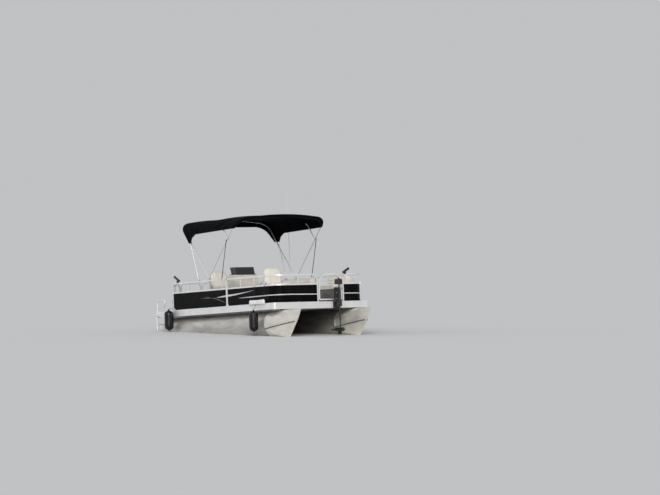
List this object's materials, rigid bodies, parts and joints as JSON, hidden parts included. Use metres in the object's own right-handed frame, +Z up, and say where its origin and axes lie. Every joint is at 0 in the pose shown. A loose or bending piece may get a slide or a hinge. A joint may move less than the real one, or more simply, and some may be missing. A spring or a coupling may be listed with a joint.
{
  "type": "pontoon boat",
  "caption": "Pontoon fishing boat with an aluminium deck on tubes, black-panelled rail fence, black folding top, helm console, seats, outboard and bow trolling motor.",
  "frame": {"origin": "on the ground under the middle of the deck, midway between the two keel strips", "axes": "+X to the bow, +Y to port, +Z up"},
  "size_m": [7.1431, 2.7101, 3.395],
  "materials": {
    "bare_aluminium": "dull, weathered",
    "silver_rail": "satin anodised",
    "black_panel": "gloss",
    "deck_carpet": "short pile",
    "canopy_cloth": "matte woven",
    "cream_vinyl": "soft satin",
    "moulded_grey": "matte",
    "black_moulding": "satin",
    "motor_black": "gloss",
    "clear_screen": "smoked",
    "black_rubber": "matte",
    "white_plastic": "gloss",
    "steel_fitting": "satin",
    "line_rope": "braided"
  },
  "bodies": {
    "hull": {"pontoon_starboard": "bare_aluminium", "pontoon_port": "bare_aluminium", "spray_strakes": "bare_aluminium", "cross_members": "bare_aluminium", "deck_panel": "deck_carpet", "deck_edge_band": "silver_rail", "motor_pod": "bare_aluminium", "fence_starboard_aft": "silver_rail", "fence_starboard_bow": "silver_rail", "fence_port_aft": "silver_rail", "fence_port_bow": "silver_rail", "fence_stern": "silver_rail", "panels_starboard": "black_panel", "panels_port": "black_panel", "panel_stern": "black_panel", "top_mounts": "steel_fitting", "top_rear_bow": "silver_rail", "top_rear_struts": "silver_rail", "top_front_straps": "black_rubber", "top_canopy": "canopy_cloth", "console": "moulded_grey", "windshield": "clear_screen", "seat_pedestals": "steel_fitting", "couch_bases": "moulded_grey", "couch_cushions": "cream_vinyl", "ladder_handrails": "silver_rail", "outboard_bracket": "motor_black", "trolling_mount": "black_moulding", "trolling_collar": "black_moulding", "antenna_mount": "steel_fitting", "rod_holders": "black_moulding", "nav_lights": "white_plastic", "cleats": "steel_fitting", "fenders": "black_rubber", "fender_lines": "line_rope"},
    "bow_gate": {"bow_gate": "silver_rail"},
    "stern_gate": {"stern_gate": "silver_rail", "stern_gate_panel": "black_panel"},
    "front_bow": {"top_front_bow": "silver_rail"},
    "middle_bow": {"top_middle_bow": "silver_rail"},
    "helm": {"helm_wheel": "black_moulding"},
    "captain_seat": {"captain_seat": "cream_vinyl"},
    "fishing_seat": {"fishing_seat": "cream_vinyl"},
    "ladder": {"boarding_ladder": "silver_rail"},
    "outboard_tilting": {"outboard_swivel": "motor_black"},
    "outboard_steering": {"outboard_leg": "motor_black", "outboard_cowl": "motor_black"},
    "outboard_screw": {"outboard_propeller": "steel_fitting"},
    "trolling_slide": {"trolling_carriage": "black_moulding"},
    "trolling_steering": {"trolling_motor": "black_moulding", "trolling_stop_ring": "black_moulding"},
    "trolling_screw": {"trolling_propeller": "black_moulding"},
    "antenna": {"antenna": "white_plastic"}
  },
  "joints": [
    {"name": "bow_gate_hinge", "type": "hinge", "parent": "hull", "child": "bow_gate", "pos_m": [2.556, 0.588, 1], "axis": [0, 0, -1], "range_deg": [0, 90]},
    {"name": "stern_gate_hinge", "type": "hinge", "parent": "hull", "child": "stern_gate", "pos_m": [-2.096, -0.994, 1], "axis": [0, 0, -1], "range_deg": [0, 90]},
    {"name": "top_fold", "type": "hinge", "parent": "hull", "child": "front_bow", "pos_m": [-0.42, 0, 1.451], "axis": [0, -1, 0], "range_deg": [0, 86], "deforming": ["top_canopy", "top_front_straps"]},
    {"name": "top_fold_middle", "type": "hinge", "parent": "front_bow", "child": "middle_bow", "pos_m": [0.5, 0, 2.31033], "axis": [0, -1, 0], "range_deg": [-86, 0]},
    {"name": "helm_steering", "type": "hinge", "parent": "hull", "child": "helm", "pos_m": [0.14966, -0.72, 1.29], "axis": [-0.9551, 0, 0.2964], "range_deg": [-360, 360]},
    {"name": "captain_seat_swivel", "type": "hinge", "parent": "hull", "child": "captain_seat", "pos_m": [-0.5, -0.72, 1.15], "axis": [0, 0, 1], "continuous": true},
    {"name": "fishing_seat_swivel", "type": "hinge", "parent": "hull", "child": "fishing_seat", "pos_m": [1.7, -0.56, 1.13], "axis": [0, 0, 1], "continuous": true},
    {"name": "ladder_fold", "type": "hinge", "parent": "hull", "child": "ladder", "pos_m": [-2.95, -1.008, 0.75], "axis": [0, 1, 0], "range_deg": [0, 165]},
    {"name": "outboard_tilt", "type": "hinge", "parent": "hull", "child": "outboard_tilting", "pos_m": [-2.84, 0, 0.6], "axis": [0, -1, 0], "range_deg": [0, 60]},
    {"name": "outboard_steer", "type": "hinge", "parent": "outboard_tilting", "child": "outboard_steering", "pos_m": [-2.8925, 0, 0.69093], "axis": [0.866, 0, 0.5], "range_deg": [-30, 30]},
    {"name": "outboard_screw_turn", "type": "hinge", "parent": "outboard_steering", "child": "outboard_screw", "pos_m": [-3.71509, 0, 0.5757], "axis": [0.5, 0, -0.866], "continuous": true},
    {"name": "trolling_lift", "type": "slide", "parent": "hull", "child": "trolling_slide", "axis": [0, 0, 1], "range_m": [0, 0.3]},
    {"name": "trolling_steer", "type": "hinge", "parent": "trolling_slide", "child": "trolling_steering", "pos_m": [2.8, 0.38, 0.79], "axis": [0, 0, 1], "range_deg": [-170, 170]},
    {"name": "trolling_screw_turn", "type": "hinge", "parent": "trolling_steering", "child": "trolling_screw", "pos_m": [2.5845, 0.38, 0.15], "axis": [1, 0, 0], "continuous": true},
    {"name": "antenna_fold", "type": "hinge", "parent": "hull", "child": "antenna", "pos_m": [-0.8, 1.216, 1.405], "axis": [0, -1, 0], "range_deg": [0, 90]}
  ],
  "couplings": [
    {"joint": "top_fold_middle", "follows": "top_fold", "ratio": -0.99},
    {"joint": "outboard_steer", "follows": "helm_steering", "ratio": 0.083333}
  ]
}
